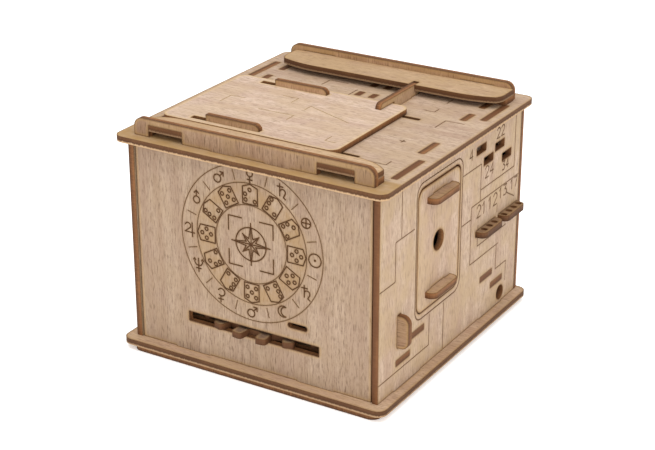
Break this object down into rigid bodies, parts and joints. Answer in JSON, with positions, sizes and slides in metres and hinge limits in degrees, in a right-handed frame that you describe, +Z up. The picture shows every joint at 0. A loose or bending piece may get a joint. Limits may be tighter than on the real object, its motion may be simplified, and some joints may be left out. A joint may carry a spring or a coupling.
{
  "type": "mechanical puzzle box",
  "caption": "Flat-panel plywood puzzle box with a knobbed dial wheel in front, a sliding top plate and its grips, and a pull-out hatch and keys on the right side.",
  "frame": {"origin": "on the underside of the foot plate, below the middle of the body between its outer walls", "axes": "+Z up, -Y the face with the dial and its slot, +X the face with the hatch and the keys"},
  "size_m": [0.1492, 0.1558, 0.122],
  "materials": {
    "birch_plywood": "laser-cut, unvarnished, edges burnt brown",
    "beech_dowel": "plain turned dowel",
    "birch_veneer": "plain veneer"
  },
  "bodies": {
    "case": {"back_panel": "birch_plywood", "base_plate": "birch_plywood", "foot_plate": "birch_plywood", "front_ledge": "birch_plywood", "front_left_spacer": "birch_plywood", "front_panel": "birch_plywood", "front_rail": "birch_plywood", "front_right_spacer": "birch_plywood", "hatch_stop": "birch_plywood", "hold_down_bar": "birch_plywood", "left_inner_wall": "birch_plywood", "left_panel": "birch_plywood", "left_partition": "birch_plywood", "lower_shelf": "birch_plywood", "lower_washer": "birch_veneer", "rear_ledge": "birch_plywood", "rear_left_spacer": "birch_plywood", "rear_rail": "birch_plywood", "rear_right_spacer": "birch_plywood", "right_inner_wall": "birch_plywood", "right_panel": "birch_plywood", "right_partition": "birch_plywood", "top_plate": "birch_plywood", "upper_shelf": "birch_plywood", "upper_washer": "birch_veneer", "wheel_axle": "beech_dowel"},
    "dial": {"dial_wheel": "birch_plywood"},
    "sliding_top": {"sliding_plate": "birch_plywood", "sliding_plate_front_pin": "beech_dowel", "sliding_plate_rear_pin": "beech_dowel"},
    "front_pull": {"front_grip": "birch_plywood", "front_grip_keeper": "birch_plywood"},
    "rear_pull": {"rear_grip": "birch_plywood", "rear_grip_keeper": "birch_plywood"},
    "hatch": {"hatch_plate": "birch_plywood", "hatch_upper_grip": "birch_plywood", "hatch_lower_grip": "birch_plywood"},
    "side_key": {"lock_key": "birch_plywood"},
    "front_code_slide": {"front_code_key": "birch_plywood", "front_code_key_peg": "beech_dowel"},
    "rear_code_slide": {"rear_code_key": "birch_plywood", "rear_code_key_peg": "beech_dowel"}
  },
  "joints": [
    {"name": "dial_turn", "type": "hinge", "parent": "case", "child": "dial", "pos_m": [0, -0.0252, 0.0238], "axis": [0, 0, 1], "continuous": true},
    {"name": "top_slide", "type": "slide", "parent": "case", "child": "sliding_top", "axis": [1, 0, 0], "range_m": [0, 0.0115]},
    {"name": "front_grip_slide", "type": "slide", "parent": "sliding_top", "child": "front_pull", "axis": [-1, 0, 0], "range_m": [0, 0.0088]},
    {"name": "rear_grip_slide", "type": "slide", "parent": "sliding_top", "child": "rear_pull", "axis": [-1, 0, 0], "range_m": [0, 0.0088]},
    {"name": "hatch_pull", "type": "slide", "parent": "case", "child": "hatch", "axis": [1, 0, 0], "range_m": [0, 0.03]},
    {"name": "lock_key_pull", "type": "slide", "parent": "case", "child": "side_key", "axis": [1, 0, 0], "range_m": [0, 0.0155]},
    {"name": "front_code_pull", "type": "slide", "parent": "case", "child": "front_code_slide", "axis": [1, 0, 0], "range_m": [-0.004, 0.006]},
    {"name": "rear_code_pull", "type": "slide", "parent": "case", "child": "rear_code_slide", "axis": [1, 0, 0], "range_m": [-0.004, 0.006]}
  ]
}
